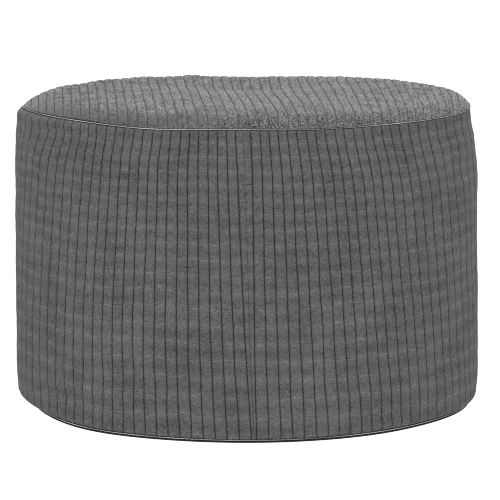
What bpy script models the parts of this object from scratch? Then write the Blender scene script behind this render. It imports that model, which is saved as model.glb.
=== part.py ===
"""Corduroy bean bag footstool, in metres, +Z up.

The origin is the middle of the foot, on the surface that the footstool stands on. The front,
where the side band is joined, faces -Y. Every wale of the corduroy is raised in the solids.
"""
import math

import bmesh
import bpy

COLLECTION_NAME = "bean_bag_footstool"

# Sizes of the filled bag
WIDEST_RADIUS = 0.250
BELLY_HEIGHT = 0.10
BELLY_SWAY = -0.02
BELLY_REACH = 0.13
BELLY_FLATTENING = 0.0014
SEAM_RADIUS = 0.2395
SEAM_HEIGHT = 0.3225
FOOT_RADIUS = 0.2345
FOOT_SIDE_GROWTH = 0.0022
FOOT_SIDE_SWAY = 0.0052
# The foot is not quite round: (degrees from the front, extra radius, spread in degrees)
FOOT_BULGES = ((-42.0, 0.0050, 12.0), (52.0, -0.0022, 10.0))

# How far down from the top seam, and up from the foot, the wall is drawn in. A sway is the
# change from the middle to the right side; the left side has the opposite change. On the left
# the shoulder is short and squarer.
SHOULDER = 0.052
SHOULDER_SWAY = 0.0335
SHOULDER_CURVE = -0.0105
SHOULDER_SQUARING = 0.75
SHOULDER_SQUARE_FROM = 0.25
SHOULDER_SQUARE_FULL = 0.65
# (degrees from the front, how much shorter the shoulder is, spread in degrees)
SHOULDER_SHORTENING = ((-52.0, 0.0090, 20.0),)
FOOT_DRAW = 0.125
DRAW_POWER = 1.6
FOOT_CORNER = 0.010
FOOT_CORNER_SWAY = -0.002

# The top seam dips where the panel is eased in: (degrees from the front, drop, spread in degrees)
SEAM_DIPS = (
    (-25.0, 0.0018, 9.0), (17.0, 0.0010, 9.0), (90.0, 0.0010, 34.0), (-90.0, 0.0028, 9.0),
    (-56.0, -0.0006, 14.0),
)

# Corduroy of the side band
SIDE_WALES = 108
SIDE_WIDENING = 0.295
SIDE_EVENING = 0.116
SIDE_LEVELLING = 0.043
JOIN_ANGLE = math.radians(0.52)
JOIN_DEPTH = 0.0010
JOIN_WIDENING = 3.92
JOIN_EASE = 14.0
FAN_CENTRE = math.radians(-10.6)
FAN_HEIGHT = 0.15
FAN_REACH = 0.165
FAN_LINEAR = 0.1145
FAN_CUBIC = 0.0237
FAN_SECOND_WAVE = 0.32
# The strip was not pulled on quite straight: (wale, height, spread in wales, spread in metres,
# degrees to the right)
WALE_DRIFTS = (
    (-17.0, 0.03, 6.0, 0.09, 1.00),
    (-16.0, 0.24, 6.0, 0.08, 0.25),
    (-6.0, 0.20, 6.0, 0.10, 0.12),
    (3.0, 0.30, 5.0, 0.05, 0.30),
    (8.0, 0.10, 5.0, 0.04, -0.20),
    (17.5, 0.18, 4.5, 0.09, -0.75),
    (16.0, 0.00, 8.0, 0.04, 0.90),
    (-21.6, 0.3185, 3.0, 0.018, 2.9),
    (-21.1, 0.3225, 4.6, 0.007, -2.3),
    (19.5, 0.300, 2.5, 0.030, -0.7),
    (25.0, 0.300, 1.2, 0.050, 2.4),
)
WALE_RISE = 0.0018
WALE_RISE_AT_SEAMS = 0.5
GROOVE_SHARE = 0.16

# Corduroy of the top panel. Its wales lean a little to the right towards the front, least on
# the right, and bow to the left in front of the hollow.
TOP_WALES = 24
TOP_PITCH = 0.0105
TOP_NARROWING = 0.077
TOP_OFFSET = 0.0009
TOP_SKEW = -0.048
TOP_FAN = 0.162
TOP_FAN_GROWTH = 0.53
TOP_BOW = -0.0048
TOP_BOW_CENTRE = (0.0245, -0.005)
TOP_BOW_SPREAD = (0.034, 0.059)
TOP_RISE = 0.0015
RIM_FADE = 0.005
RIM_COLUMNS = (0.55, 0.88)

# Dome of the top panel: rises from the seam within the roll, then runs nearly level
ROLL_WIDTH = 0.030
ROLL_SWAY = -0.008
DOME_RISE = 0.0130
DOME_BACK_DROP = 0.0050
DOME_BACK_DROP_REACH = 0.26
# Soft forms on the dome: (across, along, spread across, spread along, rise)
DOME_FORMS = (
    (0.0, 0.105, 0.058, 0.048, -0.0090),  # the hollow where the filling has settled
    (-0.085, 0.190, 0.055, 0.050, 0.0024),  # the back on the left stands a little higher
    (0.100, 0.190, 0.060, 0.050, 0.0010),
    (0.200, 0.110, 0.030, 0.060, -0.0013),  # the right shoulder falls away a little sooner
    (-0.005, 0.205, 0.028, 0.035, -0.0009),
)

# Inside the seam the band and the top panel meet on a flat, a little apart
INNER_RADIUS = 0.225
INNER_HEIGHT = 0.3115
SEAM_HALF_NOTCH = 0.0010
GAP = 0.0005

# Base panel and seam edging
BASE_THICKNESS = 0.0016
BASE_SEGMENTS = 90
FOOT_CORNER_HEIGHT = 0.0043
FOOT_CORNER_OUTSET = 0.0002
FOOT_CAP_INSET = 0.004
EDGING_SEGMENTS = 90
TOP_EDGING_RADIUS = 0.0011
TOP_EDGING_OUTSET = 0.0013
BASE_EDGING_RADIUS = 0.0009
BASE_EDGING_OUTSET = 0.0007
BASE_EDGING_HEIGHT = 0.0027

# Heights of the rows of points up the wall, as shares of the way from foot corner to seam corner
WALL_ROWS = (0.0, 0.012, 0.04, 0.12, 0.25, 0.45, 0.72, 0.90, 0.962, 0.979, 0.992, 1.0)
# Places of the rows of points across the top panel, as shares of the half chord
TOP_ROWS = (0.0, 0.25, 0.48, 0.70, 0.86, 0.955, 1.0)


def from_front(angle):
    """Turn an angle measured from the front, to the right, into one measured from +X."""
    return angle - math.pi / 2


def angle_from_front(x, y):
    return math.atan2(x, -y)


def smooth(share):
    share = min(max(share, 0.0), 1.0)
    return share * share * (3.0 - 2.0 * share)


def bumps(angle, table):
    """Sum of soft bumps round the bag: (degrees from the front, size, spread in degrees)."""
    total = 0.0
    for degrees, size, spread in table:
        away = math.degrees(math.remainder(angle - math.radians(degrees), math.tau))
        total += size * math.exp(-0.5 * (away / spread) ** 2)
    return total


def seam_height(angle):
    """Height of the top seam line at an angle from the front."""
    return SEAM_HEIGHT - bumps(angle, SEAM_DIPS)


def foot_radius(angle):
    right = math.sin(angle)
    side = (FOOT_SIDE_GROWTH + FOOT_SIDE_SWAY * right) * right ** 2
    return FOOT_RADIUS + side + bumps(angle, FOOT_BULGES)


def wall_radius(angle, height):
    """Radius of the filled wall over the wales' crowns."""
    right = math.sin(angle)
    belly = (height - BELLY_HEIGHT - BELLY_SWAY * right) / BELLY_REACH
    wall = WIDEST_RADIUS - BELLY_FLATTENING * belly ** 2
    shoulder = SHOULDER + SHOULDER_SWAY * right + SHOULDER_CURVE * right ** 2
    shoulder -= bumps(angle, SHOULDER_SHORTENING)
    below_seam = (seam_height(angle) - SEAM_HALF_NOTCH - height) / shoulder
    near_seam = min(max(1.0 - below_seam, 0.0), 1.0)
    soft = near_seam ** DRAW_POWER
    squared = 1.0 - math.sqrt(1.0 - near_seam ** 2)
    left = (-right - SHOULDER_SQUARE_FROM) / (SHOULDER_SQUARE_FULL - SHOULDER_SQUARE_FROM)
    share = soft + (squared - soft) * SHOULDER_SQUARING * smooth(left)
    drawn_top = (wall - SEAM_RADIUS) * share
    above_foot = height - FOOT_CORNER_HEIGHT
    slow = max(1.0 - above_foot / FOOT_DRAW, 0.0) ** DRAW_POWER
    sharp = max(1.0 - above_foot / (FOOT_CORNER + FOOT_CORNER_SWAY * right), 0.0)
    sharp = 1.0 - math.sqrt(1.0 - sharp ** 2)
    side = right ** 4
    drawn_foot = (wall - foot_radius(angle) - FOOT_CORNER_OUTSET) * (slow + (sharp - slow) * side)
    return wall - drawn_top - drawn_foot


def drifted(phase, height):
    """How far to the right a wale has drifted, as an angle."""
    degrees = 0.0
    for wale, level, wide, tall, most in WALE_DRIFTS:
        away = ((phase - wale) / wide) ** 2 + ((height - level) / tall) ** 2
        degrees += most * math.exp(-0.5 * away)
    return math.radians(degrees)


def wale_angle(phase, height):
    """Angle from the front of a place in the corduroy, counted in wales from the join."""
    aside = drifted(phase, height)
    width_change = JOIN_WIDENING * (height - FAN_HEIGHT)
    away = 2.0 * abs(phase)
    ease = min(away, 1.0) * math.exp(-max(away - 1.0, 0.0) / JOIN_EASE)
    phase += math.copysign(0.5, phase) * width_change * ease
    even = JOIN_ANGLE + math.tau * phase / SIDE_WALES
    angle = even - 0.5 * SIDE_WIDENING * math.sin(2.0 * even)
    angle += 0.25 * SIDE_EVENING * math.sin(4.0 * even)
    angle -= SIDE_LEVELLING / 6.0 * math.sin(6.0 * even)
    rise = (height - FAN_HEIGHT) / FAN_REACH
    spread = -(FAN_LINEAR * rise + FAN_CUBIC * rise ** 3)
    turn = angle - FAN_CENTRE
    wave = math.sin(turn) + FAN_SECOND_WAVE * math.sin(2.0 * turn)
    return angle + spread * wave / (1.0 + 2.0 * FAN_SECOND_WAVE) + aside


def band_columns():
    """(phase, depth) of each column of points: a groove's floor and a wale's two shoulders."""
    grooves = [(0.0, JOIN_DEPTH, 0.5 * GROOVE_SHARE)]
    for wale in range(SIDE_WALES):
        phase = wale + 0.5
        if phase > SIDE_WALES / 2:
            phase -= SIDE_WALES
        grooves.append((phase, WALE_RISE, GROOVE_SHARE))
    columns = []
    for index, (phase, depth, share) in enumerate(grooves):
        next_phase, _, next_share = grooves[(index + 1) % len(grooves)]
        columns.append((phase, depth))
        columns.append((phase + share, 0.0))
        columns.append((next_phase - next_share, 0.0))
    return columns


def material(name, colour, roughness):
    finish = bpy.data.materials.new(name)
    finish.use_nodes = True
    shader = finish.node_tree.nodes["Principled BSDF"]
    shader.inputs["Base Color"].default_value = (*colour, 1.0)
    shader.inputs["Roughness"].default_value = roughness
    shader.inputs["Metallic"].default_value = 0.0
    return finish


def add_object(name, bm, finish, smooth_angle):
    mesh = bpy.data.meshes.new(name)
    bm.to_mesh(mesh)
    bm.free()
    mesh.materials.append(finish)
    mesh.shade_smooth()
    mesh.set_sharp_from_angle(angle=math.radians(smooth_angle))
    part = bpy.data.objects.new(name, mesh)
    bpy.data.collections[COLLECTION_NAME].objects.link(part)
    return part


def drum(columns, rows):
    """A capped cylinder of unit height, whose wall is cut into rows of points."""
    bm = bmesh.new()
    bmesh.ops.create_cone(
        bm, cap_ends=True, cap_tris=False, segments=columns, radius1=1.0, radius2=1.0, depth=1.0
    )
    uprights = [edge for edge in bm.edges if abs(edge.verts[0].co.z - edge.verts[1].co.z) > 0.5]
    bmesh.ops.subdivide_edges(bm, edges=uprights, cuts=rows - 2, use_grid_fill=True)
    return bm


def column_of(vert, columns):
    """Index of a drum's column of points, which it counts from +Y towards -X."""
    angle = math.atan2(-vert.co.x, vert.co.y)
    return round(angle / math.tau * columns) % columns


def row_of(vert, rows):
    return round((vert.co.z + 0.5) * (rows - 1))


def place(vert, radius, angle, height):
    turned = from_front(angle)
    vert.co = (radius * math.cos(turned), radius * math.sin(turned), height)


def make_side_band(finish):
    """The filled drum: corduroy wall, flat underside, and a cleft for the top seam."""
    columns = band_columns()
    rows = len(WALL_ROWS) + 2
    bm = drum(len(columns), rows)
    for vert in bm.verts:
        phase, depth = columns[column_of(vert, len(columns))]
        row = row_of(vert, rows)
        if row == 0:
            angle = wale_angle(phase, 0.0)
            place(vert, foot_radius(angle) - FOOT_CAP_INSET, angle, BASE_THICKNESS + GAP)
        elif row == rows - 1:
            angle = wale_angle(phase, SEAM_HEIGHT)
            place(vert, INNER_RADIUS, angle, INNER_HEIGHT)
        else:
            share = WALL_ROWS[row - 1]
            angle = wale_angle(phase, share * SEAM_HEIGHT)
            top = seam_height(angle) - SEAM_HALF_NOTCH
            height = FOOT_CORNER_HEIGHT + share * (top - FOOT_CORNER_HEIGHT)
            kept = WALE_RISE_AT_SEAMS if share in (0.0, 1.0) else 1.0
            place(vert, wall_radius(angle, height) - kept * depth, angle, height)
    return add_object("side_band", bm, finish, 20)


def dome_height(x, y):
    """Height of the top panel over its wales' crowns."""
    angle = angle_from_front(x, y)
    edge = SEAM_RADIUS - math.hypot(x, y)
    roll = ROLL_WIDTH + ROLL_SWAY * math.sin(angle)
    rolled = 1.0 - max(1.0 - edge / roll, 0.0) ** 2
    seam = seam_height(angle) + SEAM_HALF_NOTCH
    back = smooth(y / SEAM_RADIUS) * (1.0 - (x / DOME_BACK_DROP_REACH) ** 2)
    crest = SEAM_HEIGHT + DOME_RISE - DOME_BACK_DROP * back
    for across, along, spread_across, spread_along, rise in DOME_FORMS:
        away = ((x - across) / spread_across) ** 2 + ((y - along) / spread_along) ** 2
        crest += rise * math.exp(-0.5 * away)
    return seam + (crest - seam) * rolled


def top_columns():
    """(place across the middle of the panel, depth) of each column of points."""
    columns = []
    for groove in range(-TOP_WALES, TOP_WALES + 1):
        narrowing = 1.0 - TOP_NARROWING * (groove / TOP_WALES) ** 2
        middle = groove * TOP_PITCH * narrowing + TOP_OFFSET
        columns.append((middle - GROOVE_SHARE * TOP_PITCH, 0.0))
        columns.append((middle, TOP_RISE))
        columns.append((middle + GROOVE_SHARE * TOP_PITCH, 0.0))
    first = columns[0][0]
    last = columns[-1][0]
    for share in RIM_COLUMNS:
        columns.append((last + share * (SEAM_RADIUS - last), 0.0))
        columns.insert(0, (first - share * (SEAM_RADIUS + first), 0.0))
    return columns


def top_place(across, share):
    """Plan point of the wale that crosses the panel's middle at across, from rim to rim."""
    lean = TOP_SKEW + TOP_FAN * across + TOP_FAN_GROWTH * across ** 2
    steepness = 1.0 + lean ** 2
    half = math.sqrt(steepness * SEAM_RADIUS ** 2 - across ** 2) / steepness
    y = share * half - across * lean / steepness
    aside = (across - TOP_BOW_CENTRE[0]) / TOP_BOW_SPREAD[0]
    along = (y - TOP_BOW_CENTRE[1]) / TOP_BOW_SPREAD[1]
    bow = TOP_BOW * math.exp(-0.5 * (aside ** 2 + along ** 2)) * (1.0 - share ** 2)
    return across + lean * y + bow, y


def make_top_panel(finish):
    """The domed round of corduroy, whose wales run front to back, over its filling."""
    columns = top_columns()
    rows = [-share for share in reversed(TOP_ROWS[1:])] + list(TOP_ROWS)
    bm = bmesh.new()
    bmesh.ops.create_grid(bm, x_segments=len(columns) - 1, y_segments=len(rows) - 1, size=1.0)
    for vert in bm.verts:
        across, depth = columns[round((vert.co.x + 1.0) / 2.0 * (len(columns) - 1))]
        share = rows[round((vert.co.y + 1.0) / 2.0 * (len(rows) - 1))]
        x, y = top_place(across, share)
        edge = SEAM_RADIUS - math.hypot(x, y)
        sunk = depth * min(max(edge / RIM_FADE, 0.0), 1.0)
        vert.co = (x, y, dome_height(x, y) - sunk)
    rim = [edge for edge in bm.edges if edge.is_boundary]
    lower = bmesh.ops.extrude_edge_only(bm, edges=rim)["geom"]
    inner_edges = [item for item in lower if isinstance(item, bmesh.types.BMEdge)]
    inner_edges = [edge for edge in inner_edges if edge.is_boundary]
    for vert in {vert for edge in inner_edges for vert in edge.verts}:
        place(vert, INNER_RADIUS, angle_from_front(vert.co.x, vert.co.y), INNER_HEIGHT + GAP)
    bmesh.ops.contextual_create(bm, geom=inner_edges)
    bmesh.ops.recalc_face_normals(bm, faces=bm.faces[:])
    return add_object("top_panel", bm, finish, 20)


def make_base_panel(finish):
    """The flat dark round under the foot."""
    bm = drum(BASE_SEGMENTS, 2)
    for vert in bm.verts:
        angle = angle_from_front(vert.co.x, vert.co.y)
        height = BASE_THICKNESS if vert.co.z > 0.0 else 0.0
        place(vert, foot_radius(angle), angle, height)
    return add_object("base_panel", bm, finish, 30)


def make_edging(name, finish, radius, outline):
    """A thin closed cord that follows the points of a seam."""
    curve = bpy.data.curves.new(name, "CURVE")
    curve.dimensions = "3D"
    curve.bevel_depth = radius
    curve.bevel_resolution = 0
    spline = curve.splines.new("POLY")
    spline.points.add(len(outline) - 1)
    for point, place_on_seam in zip(spline.points, outline):
        point.co = (*place_on_seam, 1.0)
    spline.use_cyclic_u = True
    curve.materials.append(finish)
    edging = bpy.data.objects.new(name, curve)
    bpy.data.collections[COLLECTION_NAME].objects.link(edging)
    return edging


def seam_outline(radius_at, height_at):
    outline = []
    for index in range(EDGING_SEGMENTS):
        angle = math.tau * index / EDGING_SEGMENTS
        radius = radius_at(angle)
        turned = from_front(angle)
        outline.append((radius * math.cos(turned), radius * math.sin(turned), height_at(angle)))
    return outline


def main():
    for old in list(bpy.data.objects):
        bpy.data.objects.remove(old, do_unlink=True)
    collection = bpy.data.collections.new(COLLECTION_NAME)
    bpy.context.scene.collection.children.link(collection)

    side_cord = material("side_corduroy", (0.115, 0.120, 0.112), 0.95)
    top_cord = material("top_corduroy", (0.235, 0.242, 0.231), 0.95)
    base_cloth = material("base_cloth", (0.025, 0.020, 0.020), 0.90)
    seam_thread = material("seam_thread", (0.380, 0.345, 0.335), 0.80)

    make_side_band(side_cord)
    make_top_panel(top_cord)
    make_base_panel(base_cloth)
    top_line = seam_outline(lambda angle: SEAM_RADIUS + TOP_EDGING_OUTSET, seam_height)
    make_edging("top_seam", seam_thread, TOP_EDGING_RADIUS, top_line)
    foot_line = seam_outline(
        lambda angle: foot_radius(angle) + BASE_EDGING_OUTSET, lambda angle: BASE_EDGING_HEIGHT
    )
    make_edging("bottom_seam", seam_thread, BASE_EDGING_RADIUS, foot_line)


main()
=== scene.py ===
# %% [markdown]
# # A corduroy bean bag footstool
# The real footstool is a sewn bag. One long strip of wide corduroy makes the side and is joined
# to itself by an upright seam at the front. A round of the same corduroy closes the top, a plain
# dark round closes the foot, and a pale thread shows in both round seams. Beads fill it tight.
#
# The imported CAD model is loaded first. It fixes every size, and each piece made below takes the
# place of one of its nodes. Everything is in metres, +Z is up and the front faces -Y.

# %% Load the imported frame
import math

import bpy
import numpy as np
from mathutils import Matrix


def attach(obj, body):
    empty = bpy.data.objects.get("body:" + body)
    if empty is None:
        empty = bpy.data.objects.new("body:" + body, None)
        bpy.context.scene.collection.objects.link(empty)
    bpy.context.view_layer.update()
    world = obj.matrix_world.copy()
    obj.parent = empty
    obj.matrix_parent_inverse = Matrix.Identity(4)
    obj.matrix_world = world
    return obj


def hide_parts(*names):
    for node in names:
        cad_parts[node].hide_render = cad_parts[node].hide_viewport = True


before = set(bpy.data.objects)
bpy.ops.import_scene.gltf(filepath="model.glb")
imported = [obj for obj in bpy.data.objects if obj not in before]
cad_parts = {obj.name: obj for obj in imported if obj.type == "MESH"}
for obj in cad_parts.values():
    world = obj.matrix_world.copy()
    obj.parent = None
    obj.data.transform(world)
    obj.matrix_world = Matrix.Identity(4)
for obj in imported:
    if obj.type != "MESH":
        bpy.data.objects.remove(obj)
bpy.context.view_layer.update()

print("CAD nodes:", ", ".join(sorted(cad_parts)))

# %% [markdown]
# ## The camera
# The photograph was taken from well back, a little above the footstool. A long lens far away
# keeps the sides nearly parallel. The lens could be guessed by eye, but the rims of the two
# round seams are ellipses, and their sizes and heights in the picture fix the distance, the
# height and the tilt together.

# %% Camera at the photograph's viewpoint
CAMERA_PLACE = (0.0034, -3.5, 0.7116)
CAMERA_TILT_DOWN = math.radians(8.915)
CAMERA_LENS = 235.5
SENSOR_WIDTH = 36.0

scene = bpy.context.scene


def add_object(name, data):
    added = bpy.data.objects.new(name, data)
    scene.collection.objects.link(added)
    return added


camera_data = bpy.data.cameras.new("camera")
camera_data.lens = CAMERA_LENS
camera_data.sensor_width = SENSOR_WIDTH
camera = add_object("camera", camera_data)
camera.location = CAMERA_PLACE
camera.rotation_euler = (math.pi / 2 - CAMERA_TILT_DOWN, 0.0, 0.0)
scene.camera = camera
print("camera looks down by", round(math.degrees(CAMERA_TILT_DOWN), 2), "degrees")

# %% [markdown]
# ## Shader maths as Python
# A finish is a tree of nodes. Linking them by hand hides the idea, so a small class wraps one
# socket: adding or multiplying wrapped sockets adds the Math nodes. Every other kind of node
# comes from one method, which sets the node's own settings first and its sockets afterwards.

# %% A socket that can be added and multiplied
class Value:
    """One output socket of a finish. An expression on it adds its Math nodes."""

    def __init__(self, finish, socket):
        self.finish = finish
        self.socket = socket

    def maths(self, operation, first, second=0.0):
        settings = {"operation": operation}
        return self.finish.node("ShaderNodeMath", settings, {0: first, 1: second})

    def __add__(self, other):
        return self.maths("ADD", self, other)

    def __sub__(self, other):
        return self.maths("SUBTRACT", self, other)

    def __rsub__(self, other):
        return self.maths("SUBTRACT", other, self)

    def __mul__(self, other):
        return self.maths("MULTIPLY", self, other)

    __radd__ = __add__
    __rmul__ = __mul__

    def fraction(self):
        return self.maths("FRACT", self)

    def whole(self):
        return self.maths("FLOOR", self)

    def size(self):
        return self.maths("ABSOLUTE", self)

    def wave(self):
        """A cosine that runs once for each whole number: 1 there, and -1 half way between."""
        return self.maths("COSINE", self * math.tau)


# %% A finish: one material and its nodes
class Finish:
    """A material whose nodes are added one by one, around one Principled shader."""

    def __init__(self, name):
        self.material = bpy.data.materials.new(name)
        self.material.use_nodes = True
        self.tree = self.material.node_tree
        self.shader = self.tree.nodes["Principled BSDF"]

    def node(self, kind, settings, sockets, output=0):
        made = self.tree.nodes.new(kind)
        for key, value in settings.items():
            setattr(made, key, value)
        for key, value in sockets.items():
            self.feed(made.inputs[key], value)
        return Value(self, made.outputs[output])

    def feed(self, socket, value):
        if isinstance(value, Value):
            self.tree.links.new(value.socket, socket)
        else:
            socket.default_value = value

    def set(self, **sockets):
        for key, value in sockets.items():
            self.feed(self.shader.inputs[key.replace("_", " ")], value)

    def vector(self, x, y, z):
        return self.node("ShaderNodeCombineXYZ", {}, {0: x, 1: y, 2: z})

    def split(self, vector):
        first = self.node("ShaderNodeSeparateXYZ", {}, {0: vector})
        return [Value(self, socket) for socket in first.socket.node.outputs]

    def place(self):
        """The point on the object, in metres."""
        return self.node("ShaderNodeTexCoord", {}, {}, "Object")

    def carried(self, name, output="Fac"):
        """A number, or a vector, that the mesh carries at each point."""
        return self.node("ShaderNodeAttribute", {"attribute_name": name}, {}, output)

    def noise(self, place, scale=1.0, detail=2.0, roughness=0.5):
        """A soft noise between 0 and 1, with scale turns to the metre."""
        sockets = {"Vector": place, "Scale": scale, "Detail": detail, "Roughness": roughness}
        return self.node("ShaderNodeTexNoise", {}, sockets, "Fac")

    def uneven(self, place, scale=1.0, detail=2.0, roughness=0.5):
        """The same noise, but around 0."""
        return self.noise(place, scale, detail, roughness) - 0.5

    def ramp(self, value, low, high, at_low=0.0, at_high=1.0):
        """A soft step: at_low where value is below low, at_high where it is above high."""
        sockets = {"Value": value, 1: low, 2: high, 3: at_low, 4: at_high}
        return self.node("ShaderNodeMapRange", {"interpolation_type": "SMOOTHSTEP"}, sockets)

    def mix(self, share, first, second):
        """A colour between two others."""
        settings = {"data_type": "RGBA"}
        return self.node("ShaderNodeMix", settings, {0: share, 6: first, 7: second}, 2)

    def bump(self, height, distance, strength=1.0):
        sockets = {"Height": height, "Distance": distance, "Strength": strength}
        return self.node("ShaderNodeBump", {}, sockets)


# %% [markdown]
# ## Floor and light
# The footstool stands on a plain white studio floor. The photograph's light is flat and comes
# from all round, so a white world does most of the work. A wide lamp behind lifts the top, a
# weaker one in front shapes the wales, and one overhead evens them out. The floor glows, as a
# brightly lit sweep of white paper does, so it stays white right up to the foot.

# %% Colour handling, world and lamps
WORLD_STRENGTH = 1.0
PIXEL_FILTER = 1.0
LAMP_TARGET = (0.0, 0.0, 0.16)
LAMPS = (
    # name, place, size, watts
    ("overhead_lamp", (0.0, 0.2, 3.0), 3.0, 9.0),
    ("back_lamp", (0.6, 1.9, 2.7), 1.8, 56.0),
    ("front_lamp", (-0.7, -3.4, 2.2), 2.2, 22.0),
)

scene.view_settings.view_transform = "Standard"
scene.view_settings.look = "None"
scene.cycles.filter_width = PIXEL_FILTER
world = bpy.data.worlds.new("studio")
world.use_nodes = True
sky = world.node_tree.nodes["Background"].inputs
sky["Color"].default_value = (1.0, 1.0, 1.0, 1.0)
sky["Strength"].default_value = WORLD_STRENGTH
scene.world = world

# Each lamp is round and aimed at the footstool.
for name, place, size, watts in LAMPS:
    lamp = bpy.data.lights.new(name, "AREA")
    lamp.shape = "DISK"
    lamp.size = size
    lamp.energy = watts
    stand = add_object(name, lamp)
    stand.location = place
    away = [a - b for a, b in zip(place, LAMP_TARGET)]
    level = math.hypot(away[0], away[1])
    stand.rotation_euler = (math.atan2(level, away[2]), 0.0, math.atan2(away[0], -away[1]))
print(len(LAMPS), "lamps, world at", WORLD_STRENGTH)

# %% White floor
FLOOR_HALF = 30.0
FLOOR_GLOW = 1.0
PAPER_GRAIN_SCALE = 3.0
PAPER_COLOURS = ((0.045, 0.045, 0.045, 1.0), (0.055, 0.055, 0.055, 1.0))


def add_mesh(name, points, faces):
    mesh = bpy.data.meshes.new(name)
    mesh.from_pydata(np.asarray(points).reshape(-1, 3).tolist(), [], faces)
    return add_object(name, mesh)


corners = [(-1, -1), (1, -1), (1, 1), (-1, 1)]
floor_points = [(x * FLOOR_HALF, y * FLOOR_HALF, 0.0) for x, y in corners]
floor = add_mesh("floor", floor_points, [(0, 1, 2, 3)])
paper = Finish("white_paper")
grain = paper.noise(paper.place(), PAPER_GRAIN_SCALE)
paper.set(Base_Color=paper.mix(grain, *PAPER_COLOURS))
paper.set(Roughness=0.9, Specular_IOR_Level=0.1)
paper.set(Emission_Color=(1.0, 1.0, 1.0, 1.0), Emission_Strength=FLOOR_GLOW)
floor.data.materials.append(paper.material)
print("floor:", 2.0 * FLOOR_HALF, "m across, glow", FLOOR_GLOW)

# %% [markdown]
# ## The filled bag
# The shape of the bag comes first and the corduroy afterwards. The wall bellies out a little
# below the middle, draws in to the sewn top over a soft shoulder, and draws in again at the foot.
# Each size is the one of the CAD model, so these formulas repeat it, now for whole arrays of
# points at once. An angle is measured from the front, and grows to the right.

# %% Sizes of the bag
# The wall, whose belly lies lower on the right.
WIDEST_RADIUS = 0.250
BELLY_HEIGHT = 0.10
BELLY_SWAY = -0.02
BELLY_REACH = 0.13
BELLY_FLATTENING = 0.0014

# The top seam, and its dips: degrees from the front, depth, spread in degrees.
SEAM_RADIUS = 0.2395
SEAM_HEIGHT = 0.3225
SEAM_HALF_NOTCH = 0.0010
SEAM_DIPS = (
    (-25.0, 0.0018, 9.0), (17.0, 0.0010, 9.0), (90.0, 0.0010, 34.0), (-90.0, 0.0028, 9.0),
    (-56.0, -0.0006, 14.0),
)

# The shoulder under the top seam, which is long on the right, and short and square on the left.
SHOULDER = 0.052
SHOULDER_SWAY = 0.0335
SHOULDER_CURVE = -0.0105
SHOULDER_SQUARING = 0.75
SHOULDER_SQUARE_FROM = 0.25
SHOULDER_SQUARE_FULL = 0.65
SHOULDER_SHORTENING = ((-52.0, 0.0090, 20.0),)
DRAW_POWER = 1.6

# The foot, its bulges, and the corner between it and the wall.
FOOT_RADIUS = 0.2345
FOOT_SIDE_GROWTH = 0.0022
FOOT_SIDE_SWAY = 0.0052
FOOT_BULGES = ((-42.0, 0.0050, 12.0), (52.0, -0.0022, 10.0))
FOOT_DRAW = 0.125
FOOT_CORNER = 0.010
FOOT_CORNER_SWAY = -0.002
FOOT_CORNER_HEIGHT = 0.0043
FOOT_CORNER_OUTSET = 0.0002
FOOT_CAP_INSET = 0.004

# What is hidden inside the top seam, and the base cloth below.
INNER_RADIUS = 0.225
INNER_HEIGHT = 0.3115
BASE_THICKNESS = 0.0016
GAP = 0.0005


# %% Seam and foot lines
def around(radius, angle, height):
    """Points at a radius, an angle from the front and a height, as one array."""
    radius, angle, height = np.broadcast_arrays(radius, angle, height)
    return np.stack((radius * np.sin(angle), -radius * np.cos(angle), height), axis=-1)


def smooth(share):
    share = np.clip(share, 0.0, 1.0)
    return share * share * (3.0 - 2.0 * share)


def bumps(angle, table):
    """Sum of soft bumps round the bag: degrees from the front, size, spread in degrees."""
    total = 0.0
    for degrees, size, spread in table:
        away = (np.degrees(angle) - degrees + 180.0) % 360.0 - 180.0
        total = total + size * np.exp(-0.5 * (away / spread) ** 2)
    return total


def seam_height(angle):
    return SEAM_HEIGHT - bumps(angle, SEAM_DIPS)


def foot_radius(angle):
    right = np.sin(angle)
    side = (FOOT_SIDE_GROWTH + FOOT_SIDE_SWAY * right) * right ** 2
    return FOOT_RADIUS + side + bumps(angle, FOOT_BULGES)


seam_dip = SEAM_HEIGHT - float(seam_height(math.radians(-90.0)))
print("the top seam dips by", round(seam_dip * 1000, 1), "mm at the left")


# %% The wall between them
def draw_at_shoulder(angle, height):
    """Share of the way in to the top seam: 0 below the shoulder and 1 at the seam."""
    right = np.sin(angle)
    shoulder = SHOULDER + SHOULDER_SWAY * right + SHOULDER_CURVE * right ** 2
    shoulder = shoulder - bumps(angle, SHOULDER_SHORTENING)
    below_seam = (seam_height(angle) - SEAM_HALF_NOTCH - height) / shoulder
    near_seam = np.clip(1.0 - below_seam, 0.0, 1.0)
    soft = near_seam ** DRAW_POWER
    squared = 1.0 - np.sqrt(1.0 - near_seam ** 2)
    left = (-right - SHOULDER_SQUARE_FROM) / (SHOULDER_SQUARE_FULL - SHOULDER_SQUARE_FROM)
    return soft + (squared - soft) * SHOULDER_SQUARING * smooth(left)


def draw_at_foot(angle, height):
    """Share of the way in to the foot: slow in front and behind, a sharp corner at the sides."""
    right = np.sin(angle)
    above_foot = np.maximum(height - FOOT_CORNER_HEIGHT, 0.0)
    slow = np.maximum(1.0 - above_foot / FOOT_DRAW, 0.0) ** DRAW_POWER
    sharp = np.maximum(1.0 - above_foot / (FOOT_CORNER + FOOT_CORNER_SWAY * right), 0.0)
    sharp = 1.0 - np.sqrt(1.0 - sharp ** 2)
    return slow + (sharp - slow) * right ** 4


def wall_radius(angle, height):
    belly = (height - BELLY_HEIGHT - BELLY_SWAY * np.sin(angle)) / BELLY_REACH
    wall = WIDEST_RADIUS - BELLY_FLATTENING * belly ** 2
    drawn_top = (wall - SEAM_RADIUS) * draw_at_shoulder(angle, height)
    to_foot = wall - foot_radius(angle) - FOOT_CORNER_OUTSET
    return wall - drawn_top - to_foot * draw_at_foot(angle, height)


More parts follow.
